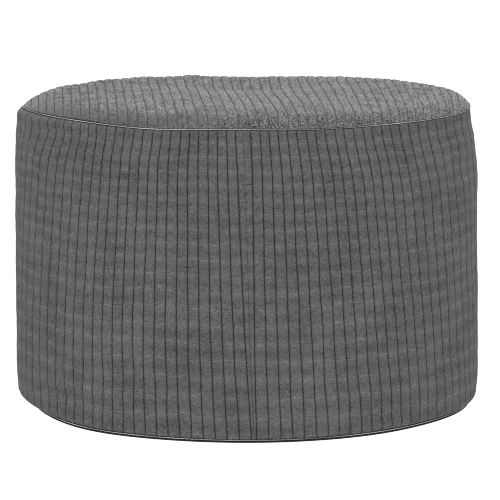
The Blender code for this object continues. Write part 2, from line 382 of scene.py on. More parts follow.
front_wall = float(wall_radius(0.0, BELLY_HEIGHT))
print("wall radius at the belly:", round(front_wall, 4))

# %% [markdown]
# The top is a low dome. It rises from the seam over a narrow roll and then runs nearly level,
# with one soft hollow towards the back where the filling has settled and two low swells behind it.

# %% The dome of the top
ROLL_WIDTH = 0.030
ROLL_SWAY = -0.008
DOME_RISE = 0.0130
DOME_BACK_DROP = 0.0050
DOME_BACK_DROP_REACH = 0.26
DOME_FORMS = (
    # centre, spread, rise
    ((0.0, 0.105), (0.058, 0.048), -0.0090),
    ((-0.085, 0.190), (0.055, 0.050), 0.0024),
    ((0.100, 0.190), (0.060, 0.050), 0.0010),
    ((0.205, 0.110), (0.018, 0.060), -0.0012),
    ((-0.005, 0.205), (0.028, 0.035), -0.0009),
)


def bell(x, y, centre, spread):
    """A soft round bump of height 1."""
    return np.exp(-0.5 * (((x - centre[0]) / spread[0]) ** 2 + ((y - centre[1]) / spread[1]) ** 2))


def dome_height(x, y):
    angle = np.arctan2(x, -y)
    edge = SEAM_RADIUS - np.hypot(x, y)
    rolled = 1.0 - np.maximum(1.0 - edge / (ROLL_WIDTH + ROLL_SWAY * np.sin(angle)), 0.0) ** 2
    seam = seam_height(angle) + SEAM_HALF_NOTCH
    back = smooth(y / SEAM_RADIUS) * (1.0 - (x / DOME_BACK_DROP_REACH) ** 2)
    crest = SEAM_HEIGHT + DOME_RISE - DOME_BACK_DROP * back
    for centre, spread, rise in DOME_FORMS:
        crest = crest + rise * bell(x, y, centre, spread)
    return seam + (crest - seam) * rolled


print("crest of the dome:", round(float(dome_height(0.0, -0.1)), 4))

# %% [markdown]
# ## Building a mesh from rows of points
# Every piece here is a sheet of quads that closes on itself, so one helper turns rows of points
# into an object. The rows run upwards, and the points in a row run to the right, which makes the
# faces look outwards.

# %% Rows of points into an object
def quads_between(rows, columns, closed):
    """Indices of the quads between rows of points; closed joins the last column to the first."""
    start = np.arange(columns if closed else columns - 1)
    following = (start + 1) % columns
    below = np.arange(rows - 1)[:, None] * columns
    quads = np.stack((below + start, below + following, below + following + columns,
                      below + start + columns), axis=-1)
    return quads.reshape(-1, 4).tolist()


def closed_faces(rows, columns):
    """Quads between closed rows, and fans over both ends to two centres that follow the rows."""
    faces = quads_between(rows, columns, True)
    low = rows * columns
    for column in range(columns):
        following = (column + 1) % columns
        faces.append((low, following, column))
        faces.append((low + 1, low - columns + column, low - columns + following))
    return faces


def add_piece(name, points, faces, finish):
    piece = add_mesh(name, points, faces)
    mesh = piece.data
    mesh.shade_smooth()
    mesh.materials.append(finish.material)
    mesh.calc_loop_triangles()
    print(name, "has", len(mesh.loop_triangles), "triangles")
    return piece


def add_values(piece, name, values, kind="FLOAT", field="value"):
    """Gives each point one number, or one vector, that a finish can read."""
    attribute = piece.data.attributes.new(name, kind, "POINT")
    attribute.data.foreach_set(field, np.asarray(values, np.float32).ravel())


# %% [markdown]
# ## Filling the bag
# A bag of beads is never perfectly even. The unevenness could be painted with noise, but cloth
# under pressure makes the right kind: long soft swells between the seams that hold it. A plain
# bag is remeshed at 6 mm, pinned along the top seam and the foot, cut a little oversize, and
# blown up with a soft pressure and no gravity for 20 frames. The bag's own measured shape stays:
# only the small swells are kept, and no point may move further than the cap.

# %% A plain bag to fill
BAG_COLUMNS = 180
BAG_INSET = 0.003
BAG_INSET_EASE = 0.02
# Added under a square root, so that rounding never makes it negative.
ALMOST_NOTHING = 1e-9
VOXEL = 0.006
FOOT_RING_SHARES = (0.2, 0.5, 0.8, 0.98)
WALL_RINGS = 50
ROLL_RING_EDGES = np.linspace(0.002, 0.03, 8)
DOME_RING_EDGES = np.linspace(0.04, 0.22, 18)


def full_turn(steps):
    return np.linspace(0.0, math.tau, steps, endpoint=False)


def bag_rings():
    """Rings of points from the middle of the foot, up the wall and over the dome."""
    angle = full_turn(BAG_COLUMNS)
    under = BASE_THICKNESS + GAP
    rings = [around(foot_radius(angle) * share, angle, under) for share in FOOT_RING_SHARES]
    for share in np.linspace(0.0, 1.0, WALL_RINGS):
        height = FOOT_CORNER_HEIGHT + share * (seam_height(angle) - FOOT_CORNER_HEIGHT)
        inset = BAG_INSET * math.sqrt(math.sin(math.pi * share) + ALMOST_NOTHING)
        below = np.minimum(height, seam_height(angle) - SEAM_HALF_NOTCH)
        rings.append(around(wall_radius(angle, below) - inset, angle, height))
    for edge in np.concatenate((ROLL_RING_EDGES, DOME_RING_EDGES)):
        ring = around(SEAM_RADIUS - edge, angle, 0.0)
        lowered = BAG_INSET * min(edge / BAG_INSET_EASE, 1.0)
        ring[:, 2] = dome_height(ring[:, 0], ring[:, 1]) - lowered
        rings.append(ring)
    return rings


def plain_bag():
    rings = bag_rings()
    faces = quads_between(len(rings), BAG_COLUMNS, True)
    count = len(rings) * BAG_COLUMNS
    faces.append(list(range(BAG_COLUMNS))[::-1])
    faces.append(list(range(count - BAG_COLUMNS, count)))
    bag = add_mesh("bag", np.concatenate(rings), faces)
    bpy.context.view_layer.objects.active = bag
    remesh = bag.modifiers.new("even_mesh", "REMESH")
    remesh.mode = "VOXEL"
    remesh.voxel_size = VOXEL
    bpy.ops.object.modifier_apply(modifier=remesh.name)
    return bag


def points_of(mesh):
    points = np.empty(len(mesh.vertices) * 3)
    mesh.vertices.foreach_get("co", points)
    return points.reshape(-1, 3)


print("the plain bag has", len(bag_rings()), "rings of", BAG_COLUMNS, "points")

# %% Pressure makes the swells
# Shrinking by less than nothing cuts the cloth oversize.
FILLING = {
    "vertex_group_mass": "pins",
    "use_pressure": True,
    "uniform_pressure_force": 4.0,
    "shrink_min": -0.02,
    "quality": 5,
    "tension_stiffness": 25.0,
    "compression_stiffness": 25.0,
    "shear_stiffness": 10.0,
    "bending_stiffness": 1.0,
}
FILL_FRAMES = 20
PIN_REACH = 0.008
PIN_FULL = 1.6
PIN_BELOW = 0.012
PIN_STEPS = 10


def pin_seams(bag, start):
    """Holds the top seam and the foot, and lets go within a few millimetres of them."""
    angle = np.arctan2(start[:, 0], -start[:, 1])
    outward = np.hypot(start[:, 0], start[:, 1]) - SEAM_RADIUS
    away = np.hypot(outward, start[:, 2] - seam_height(angle))
    hold = np.clip(PIN_FULL - away / PIN_REACH, 0.0, 1.0)
    hold[start[:, 2] < PIN_BELOW] = 1.0
    pins = bag.vertex_groups.new(name="pins")
    steps = np.round(hold * PIN_STEPS).astype(int)
    for step in range(1, PIN_STEPS + 1):
        pins.add(np.flatnonzero(steps == step).tolist(), step / PIN_STEPS, "REPLACE")


def fill_bag(bag):
    """Runs the pressure, applies it, and returns where the points started and how they moved."""
    start = points_of(bag.data)
    pin_seams(bag, start)
    cloth = bag.modifiers.new("Cloth", "CLOTH")
    for name, value in FILLING.items():
        setattr(cloth.settings, name, value)
    cloth.settings.effector_weights.gravity = 0.0
    cloth.point_cache.frame_end = FILL_FRAMES
    for frame_number in range(1, FILL_FRAMES + 1):
        scene.frame_set(frame_number)
    bpy.ops.object.modifier_apply(modifier=cloth.name)
    moved = points_of(bag.data) - start
    scene.frame_set(1)
    return start, moved


# %% [markdown]
# The moved points are read off on two small grids, one round the wall and one over the dome. A
# wide blur of the same grid is taken away, which leaves the swells and drops the general growth.

# %% Swells on two grids
WALL_GRID = (26, 120)
DOME_GRID = (48, 48)
WALL_SWELL_CAP = 0.0012
DOME_SWELL_CAP = 0.0016
WALL_BLUR = 30
DOME_BLUR = 12


def average_on_grid(shape, rows, columns, values):
    total = np.zeros(shape)
    count = np.zeros(shape)
    place = (np.clip(rows, 0, shape[0] - 1).astype(int), columns.astype(int) % shape[1])
    np.add.at(total, place, values)
    np.add.at(count, place, 1.0)
    return total / np.maximum(count, 1.0)


def blur(grid, times, wrap):
    """Averages neighbours again and again. Columns wrap round the wall, but not over the dome."""
    for _ in range(times):
        sides = "wrap" if wrap else "edge"
        wide = np.pad(np.pad(grid, ((1, 1), (0, 0)), "edge"), ((0, 0), (1, 1)), sides)
        grid = (wide[1:-1, 1:-1] * 2 + wide[:-2, 1:-1] + wide[2:, 1:-1]
                + wide[1:-1, :-2] + wide[1:-1, 2:]) / 6.0
    return grid


def swells_of(grid, wide_blur, cap, wrap):
    swells = blur(grid, 1, wrap) - blur(grid, wide_blur, wrap)
    return cap * np.tanh(swells / cap)


def read_grid(grid, row, column, wrap):
    """Values of a grid between its points."""
    row = np.clip(row - 0.5, 0.0, grid.shape[0] - 1.001)
    column = column - 0.5
    if not wrap:
        column = np.clip(column, 0.0, grid.shape[1] - 1.001)
    low_row = np.floor(row).astype(int)
    low_column = np.floor(column).astype(int)
    up = row - low_row
    right = column - low_column
    left_column = low_column % grid.shape[1]
    right_column = (low_column + 1) % grid.shape[1]
    lower = grid[low_row, left_column] * (1 - right) + grid[low_row, right_column] * right
    upper = grid[low_row + 1, left_column] * (1 - right) + grid[low_row + 1, right_column] * right
    return lower * (1 - up) + upper * up


def wall_cell(angle, height):
    return height / SEAM_HEIGHT * WALL_GRID[0], (angle / math.tau + 0.5) * WALL_GRID[1]


def dome_cell(x, y):
    width = 2.0 * SEAM_RADIUS
    return (y / width + 0.5) * DOME_GRID[0], (x / width + 0.5) * DOME_GRID[1]


# %% Run the filling
WALL_INSIDE = 0.225
WALL_LOWEST = 0.005
WALL_HIGHEST = 0.318
DOME_LOWEST = 0.31


def swells_on_wall(start, moved):
    reach = np.hypot(start[:, 0], start[:, 1])
    wall = (reach > WALL_INSIDE) & (start[:, 2] > WALL_LOWEST) & (start[:, 2] < WALL_HIGHEST)
    angle = np.arctan2(start[wall, 0], -start[wall, 1])
    outward = np.einsum("ij,ij->i", start[wall, :2], moved[wall, :2]) / reach[wall]
    grid = average_on_grid(WALL_GRID, *wall_cell(angle, start[wall, 2]), outward)
    return swells_of(grid, WALL_BLUR, WALL_SWELL_CAP, True)


def swells_on_dome(start, moved):
    dome = start[:, 2] > DOME_LOWEST
    grid = average_on_grid(DOME_GRID, *dome_cell(start[dome, 0], start[dome, 1]), moved[dome, 2])
    return swells_of(grid, DOME_BLUR, DOME_SWELL_CAP, False)


wall_swells = np.zeros(WALL_GRID)
dome_swells = np.zeros(DOME_GRID)
bag = plain_bag()
start, moved = fill_bag(bag)
wall_swells = swells_on_wall(start, moved)
dome_swells = swells_on_dome(start, moved)
bpy.data.objects.remove(bag, do_unlink=True)
print("wall swells up to", round(float(np.abs(wall_swells).max()) * 1000, 2), "mm")
print("dome swells up to", round(float(np.abs(dome_swells).max()) * 1000, 2), "mm")

# %% [markdown]
# ## The corduroy finish
# Corduroy is rows of short upright pile, the wales, with bare ground cloth between them. Up close
# the pile is a field of tiny tufts, mottled where it lies to one side or the other, and the
# grooves are darker because little light gets down to the ground cloth and out again. The wales
# are real relief in the mesh below. The finish adds what is finer than the mesh: tufts, short
# streaks along the wale, broad faint clouds, the ragged edge of each groove, and its colour: the
# ground cloth's own colour with painted shade over it, and painted shade on the flanks beside it.
#
# The mesh of each panel carries the place in the cloth, so the finish knows which wale it is on.

# %% Tufts of the pile
TUFT_SCALE = 700.0
MOTTLE_SCALE = 260.0
CLOUD_SCALE = 24.0
STREAKS_IN_A_WALE = 9.0
STREAKS_IN_A_METRE = 140.0
TUFT_SHADE = 2.3
MOTTLE_SHADE = 0.9
STREAK_SHADE = 0.8
TUFT_HEIGHT = 0.7
MOTTLE_HEIGHT = 0.3
STREAK_HEIGHT = 0.5


def grey(value):
    """A nearly neutral colour; this cloth leans a little to green."""
    return (value * 0.985, value * 1.02, value * 0.965, 1.0)


def read_cloth(finish):
    """Wales across, metres along and metres to the seam, then how far a place is from its groove:
    0 in a groove and 0.5 on the middle of a wale."""
    wales, along, to_seam = finish.split(finish.carried("cloth", "Vector"))
    return wales, along, to_seam, (wales.fraction() - 0.5).size()


def pile_shade(finish, place, wales, along, lie):
    """How light the tufts and the broad clouds are, both around 0, and how high the pile stands."""
    laid = finish.node("ShaderNodeVectorMath", {"operation": "MULTIPLY"}, {0: place, 1: lie})
    combed = finish.vector(wales * STREAKS_IN_A_WALE, along * STREAKS_IN_A_METRE, 3.0)
    tufts = finish.noise(laid, TUFT_SCALE, detail=1.0, roughness=0.6)
    mottle = finish.noise(laid, MOTTLE_SCALE, detail=1.0)
    streaks = finish.noise(combed, roughness=0.6)
    shade = (tufts - 0.5) * TUFT_SHADE + (mottle - 0.5) * MOTTLE_SHADE
    shade = shade + (streaks - 0.5) * STREAK_SHADE
    height = tufts * TUFT_HEIGHT + streaks * STREAK_HEIGHT + mottle * MOTTLE_HEIGHT
    return shade, finish.uneven(place, CLOUD_SCALE), height


# %% [markdown]
# The side was pressed in level rows, closer together near the top seam than at the foot. Each row
# shows as a soft swell with painted light and shade, a thin ragged brow of raised pile on many
# wales, a fine crease with painted shade on a few, and a spot where the pile bridges the groove.
# On the top, the eased-in cloth puckers at the end of each wale instead, with painted light and
# shade on its tucks, soft patches of painted light and shade lie over the pile, and on the right
# the edge of each wale catches the light. Both kinds of mark are functions that take and give the
# same values, so one corduroy recipe takes either of them.

# %% Pressed rows of the side
ROWS_AT_FOOT = 44.1
ROWS_GROWTH = 49.0
ROWS_START = -0.66
SWELL_PAINTED_LIGHT_AND_SHADE = 0.075
BROW_SHADE = 0.52
BROW_HALF_WIDTH = 0.055
BROW_ARCH = 0.15
BROW_RAGGED = 0.28
CREASE_RISE = 0.08
CREASE_PAINTED_SHADE = 0.24
CREASE_HALF_WIDTH = 0.035
BRIDGE_HALF_WIDTH = 0.13


def row_number(height):
    """Which pressed row a height is at. It takes arrays and shader values alike."""
    return height * (ROWS_AT_FOOT + ROWS_GROWTH * height) + ROWS_START


def near(finish, place, reach):
    """1 where the fraction of place is one half, and 0 further away than reach."""
    return finish.ramp((place.fraction() - 0.5).size(), 0.0, reach, 1.0, 0.0)


def here_and_there(finish, number, along, pace, seed, low=0.42, high=0.62):
    """A patchy mask with its own pattern on each wale."""
    patches = finish.noise(finish.vector(number * 3.7, along * pace, seed), detail=1.0)
    return finish.ramp(patches, low, high)


def pressed_rows(finish, place, wales, along, from_groove, shade):
    """The changed shade, the share of the groove that is bridged, and the change to height."""
    number = (wales + 0.5).whole()
    own = finish.uneven(finish.vector(number * 5.3, along * 22.0, 4.0), detail=1.0)
    row = row_number(along) + finish.uneven(place, 9.0, detail=1.0) * 0.6 + own * 0.4
    # The soft swell of each row is painted light and shade; the mesh has only a small real ripple.
    swell = (row - 0.5).wave() * (finish.noise(place, 30.0, detail=1.0) + 0.5)
    ragged = finish.uneven(place, 240.0, detail=1.0) * BROW_RAGGED
    brow = near(finish, row + ragged - from_groove * BROW_ARCH, BROW_HALF_WIDTH)
    brow = brow * finish.ramp(from_groove, 0.06, 0.2)
    brow = brow * here_and_there(finish, number, along, pace=24.0, seed=9.0, low=0.40, high=0.54)
    # A fine crease: real relief, with painted shade in its colour.
    crease = near(finish, row - CREASE_RISE, CREASE_HALF_WIDTH)
    crease = crease * here_and_there(finish, number, along, pace=16.0, seed=2.0)
    bridge = near(finish, row - CREASE_RISE, BRIDGE_HALF_WIDTH)
    bridge = bridge * here_and_there(finish, number, along, pace=40.0, seed=5.0, low=0.3, high=0.5)
    shade = shade + swell * SWELL_PAINTED_LIGHT_AND_SHADE + brow * BROW_SHADE - crease * CREASE_PAINTED_SHADE
    return shade, bridge, brow * 0.5 - crease * 0.5


print("pressed rows up the side:", round(row_number(SEAM_HEIGHT)))

# %% Puckers and brushed pile of the top
TUCK_PAINTED_LIGHT_AND_SHADE = 1.45
PUCKER_SHADE = 0.06


def puckers(finish, place, wales, along, from_groove, shade):
    """The same three values for the top: painted light and shade on the tucks where its mesh is
    puckered, calm patches of pile, patches of painted light and shade, and wales whose right-hand
    edge catches the light."""
    number = (wales + 0.5).whole()
    across = wales.fraction()
    pucker = finish.carried("pucker")
    edge = finish.ramp(across, 0.30, 0.44) * finish.ramp(across, 0.44, 0.47, 1.0, 0.0)
    # Light and dark specks where the cloth tucks in: painted light and shade, and a little relief
    # too.
    tucks = finish.ramp(finish.noise(place, 650.0, detail=1.0), 0.40, 0.60) - 0.5
    tucks = tucks * pucker * finish.ramp(from_groove, 0.12, 0.34)
    matted = here_and_there(finish, number, along, pace=75.0, seed=5.0, low=0.56, high=0.68)
    shade = shade * (1.0 - finish.carried("calm")) + tucks * TUCK_PAINTED_LIGHT_AND_SHADE + pucker * PUCKER_SHADE
    # Painted light and shade in soft patches, then the lit edges of the wales.
    shade = shade + finish.carried("painted_light_and_shade") + edge * finish.carried("lit_edge")
    return shade, matted * 0.4 + pucker * 0.5, tucks


print("the same recipe takes", pressed_rows.__name__, "or", puckers.__name__)

# %% The corduroy recipe
SEAM_SHADOW_REACH = 0.009
# Painted shade on a groove's flanks: full this share of a wale from the groove, gone at the next.
PAINTED_FLANK_SHADE_FROM = 0.02
PAINTED_FLANK_SHADE_TO = 0.16
GROOVE_FLOOR = 0.005
GROOVE_RAGGED = 0.07
GROOVE_HEIGHT = 0.8
PILE_RELIEF = 0.0009
PILE_RELIEF_STRENGTH = 0.8
SHEEN_COLOUR = (0.92, 0.95, 0.91, 1.0)


def corduroy(name, look, marks):
    finish = Finish(name)
    place = finish.place()
    wales, along, to_seam, from_groove = read_cloth(finish)
    shade, clouds, height = pile_shade(finish, place, wales, along, look["lie"])
    shade = shade * look["speckle"] + clouds * look["clouds"]
    shade, bridge, raised = marks(finish, place, wales, along, from_groove, shade)
    seam_shadow = finish.ramp(to_seam, 0.0, SEAM_SHADOW_REACH, look["seam_shadow"], 0.0)
    # Painted shade on each groove's flanks, where little light gets in.
    painted_flank_shade = finish.ramp(from_groove, PAINTED_FLANK_SHADE_FROM, PAINTED_FLANK_SHADE_TO, look["painted_flank_shade"], 0.0)
    shade = (shade - seam_shadow - painted_flank_shade) * look["spread"] + look["middle"]

    ragged = finish.uneven(place, TUFT_SCALE) * GROOVE_RAGGED
    groove = finish.ramp(from_groove + ragged, GROOVE_FLOOR, look["groove"], 1.0, 0.0)
    groove = groove * (1.0 - bridge)
    colour = finish.mix(shade, grey(look["dark"]), grey(look["light"]))
    # Grooves take the ground cloth's colour, darkened with painted shade.
    colour = finish.mix(groove, colour, grey(look["ground_and_groove_shade"]))
    relief = height - groove * GROOVE_HEIGHT + raised
    finish.set(Normal=finish.bump(relief, PILE_RELIEF, PILE_RELIEF_STRENGTH))
    finish.set(Base_Color=colour, Roughness=0.86 + height * 0.08, Specular_IOR_Level=0.05)
    finish.set(Sheen_Weight=look["sheen"], Sheen_Roughness=0.4, Sheen_Tint=SHEEN_COLOUR)
    return finish


SIDE_LOOK = {
    "dark": 0.043, "light": 0.172, "spread": 1.0, "middle": 0.49,
    "ground_and_groove_shade": 0.080, "groove": 0.040, "painted_flank_shade": 0.13,
    "speckle": 0.48, "clouds": 0.42, "sheen": 0.02, "lie": (0.70, 0.75, 1.0), "seam_shadow": 0.06,
}
TOP_LOOK = {
    "dark": 0.020, "light": 0.228, "spread": 0.607, "middle": 0.40,
    "ground_and_groove_shade": 0.060, "groove": 0.040, "painted_flank_shade": 0.14,
    "speckle": 1.10, "clouds": 0.60, "sheen": 0.22, "lie": (0.85, 0.09, 1.0), "seam_shadow": 0.07,
}
side_corduroy = corduroy("side_corduroy", SIDE_LOOK, pressed_rows)
top_corduroy = corduroy("top_corduroy", TOP_LOOK, puckers)
print("corduroy finishes:", side_corduroy.material.name, top_corduroy.material.name)

# %% [markdown]
# ## The side band
# The strip's wales stand upright. The bag swells below and draws in above, so the wales fan: they
# crowd at the front near the top seam and open towards the foot. Each wale is a flat-topped
# ridge of pile about two millimetres high, and the groove beside it is narrow. The cloth was not
# pulled on quite straight, so here and there a few wales drift together to one side.

# %% Where each wale stands
SIDE_WALES = 108
SIDE_WIDENING = 0.295
SIDE_EVENING = 0.116
SIDE_LEVELLING = 0.043
JOIN_ANGLE = math.radians(0.52)
JOIN_DEPTH = 0.0010
JOIN_WIDENING = 3.92
JOIN_EASE = 14.0
FAN_CENTRE = math.radians(-10.6)
FAN_HEIGHT = 0.15
FAN_REACH = 0.165
FAN_LINEAR = 0.1145
FAN_CUBIC = 0.0237
FAN_SECOND_WAVE = 0.32
WALE_DRIFTS = (
    # wale, height, spread in wales, spread in metres, degrees to the right
    (-17.0, 0.03, 6.0, 0.09, 1.00),
    (-16.0, 0.24, 6.0, 0.08, 0.25),
    (-6.0, 0.20, 6.0, 0.10, 0.12),
    (3.0, 0.30, 5.0, 0.05, 0.30),
    (8.0, 0.10, 5.0, 0.04, -0.20),
    (17.5, 0.18, 4.5, 0.09, -0.75),
    (16.0, 0.00, 8.0, 0.04, 0.90),
    (-21.6, 0.3185, 3.0, 0.018, 2.9),
    (-21.1, 0.3225, 4.6, 0.007, -2.3),
    (19.5, 0.300, 2.5, 0.030, -0.7),
    (25.0, 0.300, 1.2, 0.050, 2.4),
)


def drifted(phase, height):
    """How far to the right a wale has drifted, as an angle."""
    degrees = 0.0
    for wale, level, wide, tall, most in WALE_DRIFTS:
        away = ((phase - wale) / wide) ** 2 + ((height - level) / tall) ** 2
        degrees = degrees + most * np.exp(-0.5 * away)
    return np.radians(degrees)


def wale_angle(phase, height):
    """Angle from the front of a place in the strip, counted in wales from the join."""
    aside = drifted(phase, height)
    width_change = JOIN_WIDENING * (height - FAN_HEIGHT)
    away = 2.0 * np.abs(phase)
    ease = np.minimum(away, 1.0) * np.exp(-np.maximum(away - 1.0, 0.0) / JOIN_EASE)
    phase = phase + np.copysign(0.5, phase) * width_change * ease
    even = JOIN_ANGLE + math.tau * phase / SIDE_WALES
    angle = even - 0.5 * SIDE_WIDENING * np.sin(2.0 * even)
    angle = angle + 0.25 * SIDE_EVENING * np.sin(4.0 * even)
    angle = angle - SIDE_LEVELLING / 6.0 * np.sin(6.0 * even)
    rise = (height - FAN_HEIGHT) / FAN_REACH
    turn = angle - FAN_CENTRE
    wave = (np.sin(turn) + FAN_SECOND_WAVE * np.sin(2.0 * turn)) / (1.0 + 2.0 * FAN_SECOND_WAVE)
    return angle - (FAN_LINEAR * rise + FAN_CUBIC * rise ** 3) * wave + aside


for where, wale in (("front", 3.0), ("right", 27.0)):
    width = WIDEST_RADIUS * float(np.diff(wale_angle(np.array([wale, wale + 1.0]), FAN_HEIGHT))[0])
    print("a wale at the", where, "is", round(width * 1000, 1), "mm wide")

# %% [markdown]
# No two wales are quite alike. A few long sine waves with fixed starting points let each groove
# wander by a few hundredths of a wale, and let the pile stand a little higher or lower.

# %% Small wandering of the wales
FEWEST_TURNS = 9
MOST_TURNS = 49


def waves(seed, count, wales, along_reach):
    """A repeatable wandering between about -1 and 1, over the wales and along them."""
    dice = np.random.default_rng(seed)
    turns = dice.integers(FEWEST_TURNS, MOST_TURNS, count)
    pace = dice.uniform(-1.0, 1.0, count) / along_reach
    start = dice.uniform(0.0, math.tau, count)

    def wander(wale, along):
        total = 0.0
        for turn, speed, first in zip(turns, pace, start):
            total = total + np.sin(math.tau * (turn * wale / wales + speed * along) + first)
        return total / math.sqrt(count)

    return wander


side_wander = waves(seed=5, count=7, wales=SIDE_WALES, along_reach=0.09)
side_height = waves(seed=11, count=6, wales=SIDE_WALES, along_reach=0.05)

# %% [markdown]
# A column of points is a place in the strip. Eight columns make one wale: most of them stand
# close to the groove, where the profile turns, and few stand on its flat top. The strip starts
# and ends at the join, and there the two turned-in edges leave only a shallow line. The rows of
# points are close enough for the pressed rows, which are a real ripple in the wall too.

# %% Columns and rows of the side band
WALE_COLUMNS = (0.0, 0.03, 0.07, 0.15, 0.5, 0.85, 0.93, 0.97)
JOIN_COLUMNS = (0.0, 0.03, 0.09, 0.18, 0.30, 0.38, 0.44, 0.475)
WALE_DEPTH = 0.0021
WALE_POWER = 13.0
JOIN_POWER = 13.0
RIPPLE = 0.00010
RIPPLE_CREST = 0.38
JOIN_HAIR = 0.02
WALE_DEPTH_AT_SEAM = 0.55
RIM_ROWS = (0.0, 0.0015, 0.004, 0.008, 0.014, 0.022)
MIDDLE_ROWS = np.linspace(0.033, 0.967, 86)


def strip_columns():
    """Places in the strip, in wales from the join, once round to the right and back to it."""
    first = np.array(JOIN_COLUMNS)
    wales = (np.arange(SIDE_WALES - 1)[:, None] + 0.5 + np.array(WALE_COLUMNS)).ravel()
    last = SIDE_WALES - first[::-1]
    last[-1] -= JOIN_HAIR
    return np.concatenate((first, wales, [SIDE_WALES - 0.5], last))


def strip_rows():
    """Shares of the way from the foot's corner up to the seam's corner."""
    rim = np.array(RIM_ROWS)
    return np.concatenate((rim, MIDDLE_ROWS, 1.0 - rim[::-1]))


def side_groove(wale):
    """Share of the full depth: 1 on the floor of a groove, 0 on top of a wale."""
    from_middle = np.abs(2.0 * ((wale + 0.5) % 1.0) - 1.0)
    groove = from_middle ** WALE_POWER
    from_join = np.minimum(wale, SIDE_WALES - wale)
    at_join = np.maximum(1.0 - 2.0 * from_join, 0.0) ** JOIN_POWER * (JOIN_DEPTH / WALE_DEPTH)
    half = from_join < 0.5
    beside = np.clip(2.0 * from_join, 0.0, 1.0) ** JOIN_POWER
    return np.where(half, np.maximum(at_join, beside), groove)


print(len(strip_columns()), "columns and", len(strip_rows()), "rows of points in the side band")

# %% Build the side band
WALE_WANDER = 0.028
WANDER_FROM_JOIN = 1.5
PILE_UNEVENNESS = 0.00018
FULL_DEPTH_FROM_RIM = 0.006
FULL_SWELL_FROM_RIM = 0.025


def side_points():
    wale = strip_columns()[None, :]
    share = strip_rows()[:, None]
    level = share * SEAM_HEIGHT
    phase = np.where(wale > SIDE_WALES / 2, wale - SIDE_WALES, wale)
    loose = smooth(np.minimum(wale, SIDE_WALES - wale) / WANDER_FROM_JOIN)
    phase = phase + WALE_WANDER * side_wander(wale, level) * loose
    angle = wale_angle(phase, level)
    top = seam_height(angle) - SEAM_HALF_NOTCH
    height = FOOT_CORNER_HEIGHT + share * (top - FOOT_CORNER_HEIGHT)
    to_rim = np.minimum(height - FOOT_CORNER_HEIGHT, top - height)
    inside = smooth(to_rim / FULL_DEPTH_FROM_RIM)
    kept = WALE_DEPTH_AT_SEAM + (1.0 - WALE_DEPTH_AT_SEAM) * inside
    crown = PILE_UNEVENNESS * side_height(wale, level)
    crown = crown + RIPPLE * np.cos(math.tau * (row_number(height) - RIPPLE_CREST))
    swell = read_grid(wall_swells, *wall_cell(angle, height), True)
    free = smooth(to_rim / FULL_SWELL_FROM_RIM)
    radius = wall_radius(angle, height) + (crown + swell) * free
    radius = radius - WALE_DEPTH * kept * side_groove(wale)
    cloth = np.stack(np.broadcast_arrays(wale, height, to_rim), axis=-1)
    return around(radius, angle, height), cloth, angle


def build_side_band():
    wall, cloth, angle = side_points()
    foot = around(foot_radius(angle[0]) - FOOT_CAP_INSET, angle[0], BASE_THICKNESS + GAP)
    ledge = around(INNER_RADIUS, angle[-1], INNER_HEIGHT)
    centres = np.array([(0.0, 0.0, BASE_THICKNESS + GAP), (0.0, 0.0, INNER_HEIGHT)])
    points = np.concatenate((foot, wall.reshape(-1, 3), ledge, centres))
    faces = closed_faces(wall.shape[0] + 2, wall.shape[1])
    band = add_piece("side_band_corduroy", points, faces, side_corduroy)
    places = np.concatenate((cloth[0], cloth.reshape(-1, 3), cloth[-1], np.zeros((2, 3))))
    add_values(band, "cloth", places, "FLOAT_VECTOR", "vector")
    return band


side_band = build_side_band()
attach(side_band, "root")
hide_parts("side_band")

# %% [markdown]
# ## The top panel
# The round is cut with its wales running from front to back. It is eased into the seam, so each
# wale ends in a small pucker, and the wales bend where the cloth dips into the hollow. They could
# be drawn one by one, but here they are laid out as straight leaning lines with one soft bow, and
# the relief is raised on the dome.
#
# The mesh also carries four numbers for the finish: where it is puckered, where its pile is calm,
# where painted light and shade make it lighter or darker, and where the wales' edges catch the
# light.

# %% Where the top's wales run
TOP_WALES = 24
TOP_PITCH = 0.0105
TOP_NARROWING = 0.077
TOP_OFFSET = 0.0009
TOP_SKEW = -0.048
TOP_FAN = 0.162
TOP_FAN_GROWTH = 0.53
TOP_BOW = -0.0048
TOP_BOW_CENTRE = (0.0245, -0.005)
TOP_BOW_SPREAD = (0.034, 0.059)


def top_across(wale):
    """Where a wale crosses the middle of the panel; whole numbers are grooves."""
    return wale * TOP_PITCH * (1.0 - TOP_NARROWING * (wale / TOP_WALES) ** 2) + TOP_OFFSET


def top_place(across, share):
    """Plan point on the wale that crosses the middle at across, from front rim to back rim."""
    lean = TOP_SKEW + TOP_FAN * across + TOP_FAN_GROWTH * across ** 2
    steepness = 1.0 + lean ** 2
    half = np.sqrt(steepness * SEAM_RADIUS ** 2 - across ** 2) / steepness
    y = share * half - across * lean / steepness
    bow = TOP_BOW * bell(across, y, TOP_BOW_CENTRE, TOP_BOW_SPREAD) * (1.0 - share ** 2)
    return across + lean * y + bow, y


# %% Relief of the top
TOP_DEPTH = 0.0017
TOP_POWER = 8.0
TOP_FADE = 0.006
TOP_REACH = 0.23948
TOP_WANDER = 0.035
TOP_FULL_SWELL_FROM_RIM = 0.03
TOP_COLUMNS = (0.0, 0.03, 0.075, 0.15, 0.3, 0.5, 0.7, 0.85, 0.925, 0.97)
LAST_COLUMNS = np.array([0.0, 0.05, 0.12, 0.24, 0.42, 0.64, 0.86, 1.0])
LEFT_COLUMN_REACH = 0.98
RIGHT_COLUMN_REACH = 0.74
TOP_RIM_ROWS = (0.0, 0.002, 0.005, 0.009, 0.014, 0.02, 0.027, 0.035, 0.044, 0.055, 0.067, 0.08)
TOP_MIDDLE_ROWS = np.linspace(0.095, 1.0, 56)
